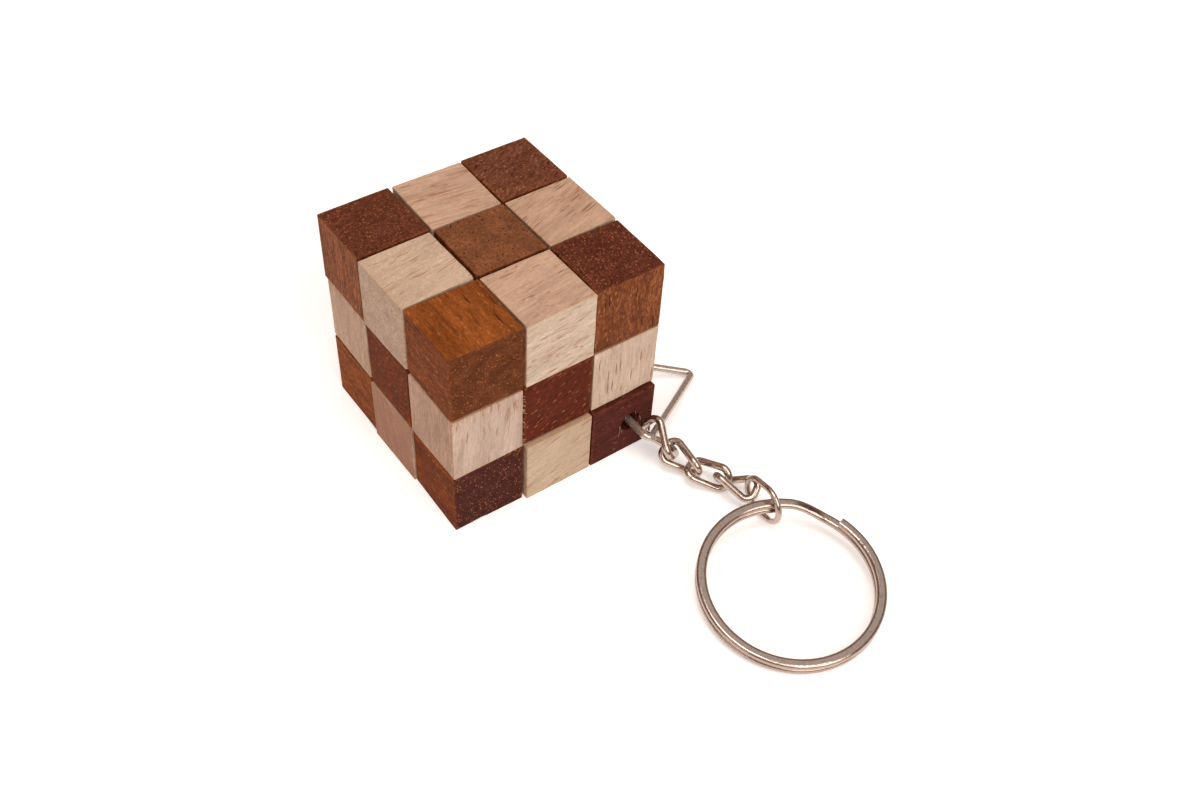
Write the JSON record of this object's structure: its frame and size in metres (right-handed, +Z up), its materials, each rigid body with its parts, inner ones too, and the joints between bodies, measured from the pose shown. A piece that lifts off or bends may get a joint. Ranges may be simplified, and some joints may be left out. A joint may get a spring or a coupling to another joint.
{
  "type": "snake cube puzzle key chain",
  "caption": "Small wooden snake cube on elastic cord, folded into a checkerboard cube of two woods, with a wire bail, curb chain, jump ring and split key ring.",
  "frame": {"origin": "middle of the folded cube's underside, where it rests on a table", "axes": "+Z up, +X along the cube's front face towards the bail's corner, +Y from the front face to the back"},
  "size_m": [0.0418, 0.0719, 0.0298],
  "materials": {
    "dark_wood": "satin, fine pores",
    "light_wood": "satin, fine grain",
    "elastic": "round white elastic cord",
    "nickel_wire": "bright nickel plate on wire",
    "ring_steel": "bright nickel plate on flat wire"
  },
  "bodies": {
    "cubelet_01": {"cubelet_01_dark": "dark_wood", "cord_01_loop": "elastic"},
    "cubelet_02": {"cubelet_02_light": "light_wood", "cord_02": "elastic"},
    "cubelet_03": {"cubelet_03_dark": "dark_wood", "cord_03": "elastic"},
    "cubelet_04": {"cubelet_04_light": "light_wood", "cord_04": "elastic"},
    "base_cubelet": {"cubelet_05_dark": "dark_wood", "cord_05": "elastic"},
    "cubelet_06": {"cubelet_06_light": "light_wood", "cord_06": "elastic"},
    "cubelet_07": {"cubelet_07_dark": "dark_wood", "cord_07": "elastic"},
    "cubelet_08": {"cubelet_08_light": "light_wood", "cord_08": "elastic"},
    "cubelet_09": {"cubelet_09_dark": "dark_wood", "cord_09": "elastic"},
    "cubelet_19": {"cubelet_19_dark": "dark_wood", "cord_19": "elastic"},
    "cubelet_20": {"cubelet_20_light": "light_wood", "cord_20": "elastic"},
    "cubelet_21": {"cubelet_21_dark": "dark_wood", "cord_21": "elastic"},
    "cubelet_22": {"cubelet_22_light": "light_wood", "cord_22": "elastic"},
    "cubelet_23": {"cubelet_23_dark": "dark_wood", "cord_23": "elastic"},
    "cubelet_24": {"cubelet_24_light": "light_wood", "cord_24": "elastic"},
    "cubelet_25": {"cubelet_25_dark": "dark_wood", "cord_25": "elastic"},
    "cubelet_26": {"cubelet_26_light": "light_wood", "cord_26": "elastic"},
    "cubelet_27": {"cubelet_27_dark": "dark_wood", "cord_27_knot": "elastic", "end_plug": "light_wood"},
    "middle_layer": {"cubelet_10_light": "light_wood", "cubelet_11_dark": "dark_wood", "cubelet_12_light": "light_wood", "cubelet_13_dark": "dark_wood", "cubelet_14_light": "light_wood", "cubelet_15_dark": "dark_wood", "cubelet_16_light": "light_wood", "cubelet_17_dark": "dark_wood", "cubelet_18_light": "light_wood", "cord_middle": "elastic"},
    "bail": {"bail": "nickel_wire"},
    "link_1": {"link_1": "nickel_wire"},
    "link_2": {"link_2": "nickel_wire"},
    "link_3": {"link_3": "nickel_wire"},
    "link_4": {"link_4": "nickel_wire"},
    "jump_ring": {"jump_ring": "nickel_wire"},
    "split_ring": {"split_ring": "ring_steel"}
  },
  "joints": [
    {"name": "pull_04", "type": "slide", "parent": "base_cubelet", "child": "cubelet_04", "axis": [-1, 0, 0], "range_m": [0, 0.003], "stiffness_N_per_m": 30, "springref_m": -0.004},
    {"name": "pull_03", "type": "slide", "parent": "cubelet_04", "child": "cubelet_03", "axis": [0, -1, 0], "range_m": [0, 0.003], "stiffness_N_per_m": 30, "springref_m": -0.004},
    {"name": "pull_02", "type": "slide", "parent": "cubelet_03", "child": "cubelet_02", "axis": [1, 0, 0], "range_m": [0, 0.003], "stiffness_N_per_m": 30, "springref_m": -0.004},
    {"name": "pull_01", "type": "slide", "parent": "cubelet_02", "child": "cubelet_01", "axis": [1, 0, 0], "range_m": [0, 0.003], "stiffness_N_per_m": 30, "springref_m": -0.004},
    {"name": "pull_06", "type": "slide", "parent": "base_cubelet", "child": "cubelet_06", "axis": [1, 0, 0], "range_m": [0, 0.003], "stiffness_N_per_m": 150, "springref_m": -0.004},
    {"name": "pull_07", "type": "slide", "parent": "cubelet_06", "child": "cubelet_07", "axis": [0, 1, 0], "range_m": [0, 0.003], "stiffness_N_per_m": 150, "springref_m": -0.004},
    {"name": "pull_08", "type": "slide", "parent": "cubelet_07", "child": "cubelet_08", "axis": [-1, 0, 0], "range_m": [0, 0.003], "stiffness_N_per_m": 150, "springref_m": -0.004},
    {"name": "pull_09", "type": "slide", "parent": "cubelet_08", "child": "cubelet_09", "axis": [-1, 0, 0], "range_m": [0, 0.003], "stiffness_N_per_m": 150, "springref_m": -0.004},
    {"name": "turn_upper_layers", "type": "hinge", "parent": "cubelet_09", "child": "middle_layer", "pos_m": [-0.01, 0.01, 0.00988], "axis": [0, 0, 1], "continuous": true},
    {"name": "turn_top_layer", "type": "hinge", "parent": "middle_layer", "child": "cubelet_19", "pos_m": [0.01, -0.01, 0.01988], "axis": [0, 0, 1], "continuous": true},
    {"name": "pull_20", "type": "slide", "parent": "cubelet_19", "child": "cubelet_20", "axis": [-1, 0, 0], "range_m": [0, 0.003], "stiffness_N_per_m": 30, "springref_m": -0.004},
    {"name": "pull_21", "type": "slide", "parent": "cubelet_20", "child": "cubelet_21", "axis": [-1, 0, 0], "range_m": [0, 0.003], "stiffness_N_per_m": 30, "springref_m": -0.004},
    {"name": "pull_22", "type": "slide", "parent": "cubelet_21", "child": "cubelet_22", "axis": [0, 1, 0], "range_m": [0, 0.003], "stiffness_N_per_m": 30, "springref_m": -0.004},
    {"name": "pull_23", "type": "slide", "parent": "cubelet_22", "child": "cubelet_23", "axis": [1, 0, 0], "range_m": [0, 0.003], "stiffness_N_per_m": 30, "springref_m": -0.004},
    {"name": "pull_24", "type": "slide", "parent": "cubelet_23", "child": "cubelet_24", "axis": [1, 0, 0], "range_m": [0, 0.003], "stiffness_N_per_m": 30, "springref_m": -0.004},
    {"name": "pull_25", "type": "slide", "parent": "cubelet_24", "child": "cubelet_25", "axis": [0, 1, 0], "range_m": [0, 0.003], "stiffness_N_per_m": 30, "springref_m": -0.004},
    {"name": "pull_26", "type": "slide", "parent": "cubelet_25", "child": "cubelet_26", "axis": [-1, 0, 0], "range_m": [0, 0.003], "stiffness_N_per_m": 30, "springref_m": -0.004},
    {"name": "pull_27", "type": "slide", "parent": "cubelet_26", "child": "cubelet_27", "axis": [-1, 0, 0], "range_m": [0, 0.003], "stiffness_N_per_m": 30, "springref_m": -0.004},
    {"name": "bail_swing", "type": "hinge", "parent": "cubelet_01", "child": "bail", "pos_m": [0.0112, -0.0106, 0.00507], "axis": [0, 1, 0], "range_deg": [-52, 24]},
    {"name": "link_1_swing", "type": "hinge", "parent": "bail", "child": "link_1", "pos_m": [0.01326, -0.01829, 0.00448], "axis": [0.8243, 0.5129, -0.2398], "range_deg": [-25, 25]},
    {"name": "link_2_swing", "type": "hinge", "parent": "link_1", "child": "link_2", "pos_m": [0.01374, -0.02173, 0.0027], "axis": [0.7961, 0.3616, -0.4853], "range_deg": [-18, 25]},
    {"name": "link_3_swing", "type": "hinge", "parent": "link_2", "child": "link_3", "pos_m": [0.01519, -0.02529, 0.00184], "axis": [0.3324, 0.3685, -0.8682], "range_deg": [-12, 25]},
    {"name": "link_4_swing", "type": "hinge", "parent": "link_3", "child": "link_4", "pos_m": [0.01733, -0.0286, 0.00196], "axis": [-0.1577, -0.0747, -0.9847], "range_deg": [-13, 12]},
    {"name": "jump_ring_swing", "type": "hinge", "parent": "link_4", "child": "jump_ring", "pos_m": [0.0189, -0.03215, 0.00245], "axis": [-0.7713, -0.4156, -0.4822], "range_deg": [-25, 14]},
    {"name": "split_ring_swing", "type": "hinge", "parent": "jump_ring", "child": "split_ring", "pos_m": [0.01787, -0.03731, 0.00417], "axis": [0.0529, 0.288, 0.9562], "range_deg": [-12, 12]}
  ]
}
